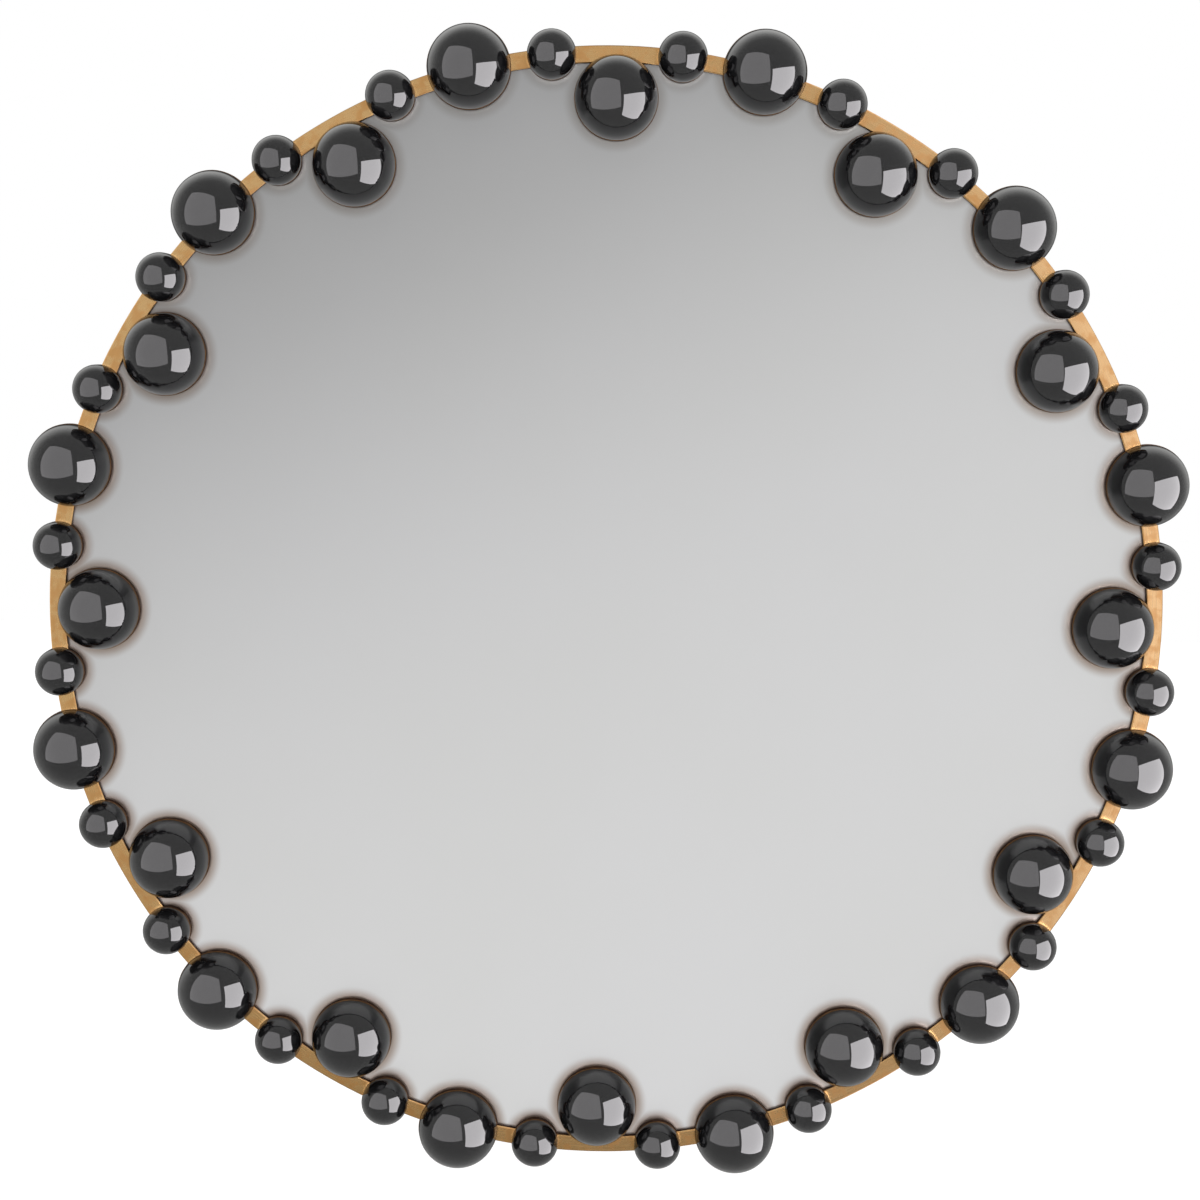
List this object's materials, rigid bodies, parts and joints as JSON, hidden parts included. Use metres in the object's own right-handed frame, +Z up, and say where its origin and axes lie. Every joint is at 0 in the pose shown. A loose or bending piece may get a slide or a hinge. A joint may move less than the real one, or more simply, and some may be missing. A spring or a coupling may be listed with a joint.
{
  "type": "round wall mirror",
  "caption": "Round wall mirror: a narrow brass band carries half-round black glass balls, large and small, on brass cups, with ring hangers on the back.",
  "frame": {"origin": "on the wall, straight behind the centre of the round glass, in the plane that the four bumpers touch", "axes": "+Z up, +Y into the wall, so the mirror faces -Y; +X to the right seen from the front"},
  "size_m": [0.991, 0.0633, 0.9912],
  "materials": {
    "brass": "satin",
    "black_glass": "polished",
    "silvered_glass": "polished",
    "felt": "matt",
    "board": "sanded fibreboard",
    "plated_steel": "nickel plated",
    "rubber": "matt"
  },
  "bodies": {
    "mirror": {"frame_band": "brass", "inner_cups": "brass", "outer_cups": "brass", "small_cups": "brass", "mirror_glass": "silvered_glass", "cushion_sheet": "felt", "backing_board": "board", "retaining_clips": "plated_steel", "clip_screws": "plated_steel", "hanger_strap_left": "plated_steel", "hanger_strap_right": "plated_steel", "hanger_screws_left": "plated_steel", "hanger_screws_right": "plated_steel", "wall_bumpers": "rubber", "inner_ball_01": "black_glass", "outer_ball_01": "black_glass", "small_ball_pair_01": "black_glass", "inner_ball_02": "black_glass", "outer_ball_02": "black_glass", "small_ball_pair_02": "black_glass", "inner_ball_03": "black_glass", "outer_ball_03": "black_glass", "small_ball_pair_03": "black_glass", "inner_ball_04": "black_glass", "outer_ball_04": "black_glass", "small_ball_pair_04": "black_glass", "inner_ball_05": "black_glass", "outer_ball_05": "black_glass", "small_ball_pair_05": "black_glass", "inner_ball_06": "black_glass", "outer_ball_06": "black_glass", "small_ball_pair_06": "black_glass", "inner_ball_07": "black_glass", "outer_ball_07": "black_glass", "small_ball_pair_07": "black_glass", "inner_ball_08": "black_glass", "outer_ball_08": "black_glass", "small_ball_pair_08": "black_glass", "inner_ball_09": "black_glass", "outer_ball_09": "black_glass", "small_ball_pair_09": "black_glass", "inner_ball_10": "black_glass", "outer_ball_10": "black_glass", "small_ball_pair_10": "black_glass", "inner_ball_11": "black_glass", "outer_ball_11": "black_glass", "small_ball_pair_11": "black_glass", "inner_ball_12": "black_glass", "outer_ball_12": "black_glass", "small_ball_pair_12": "black_glass"},
    "left_ring": {"hanger_ring_left": "plated_steel"},
    "right_ring": {"hanger_ring_right": "plated_steel"}
  },
  "joints": [
    {"name": "left_ring_swing", "type": "hinge", "parent": "mirror", "child": "left_ring", "pos_m": [-0.22994, -0.0042, 0.25005], "axis": [1, 0, 0], "range_deg": [0, 180]},
    {"name": "right_ring_swing", "type": "hinge", "parent": "mirror", "child": "right_ring", "pos_m": [0.22994, -0.0042, 0.25005], "axis": [1, 0, 0], "range_deg": [0, 180]}
  ]
}
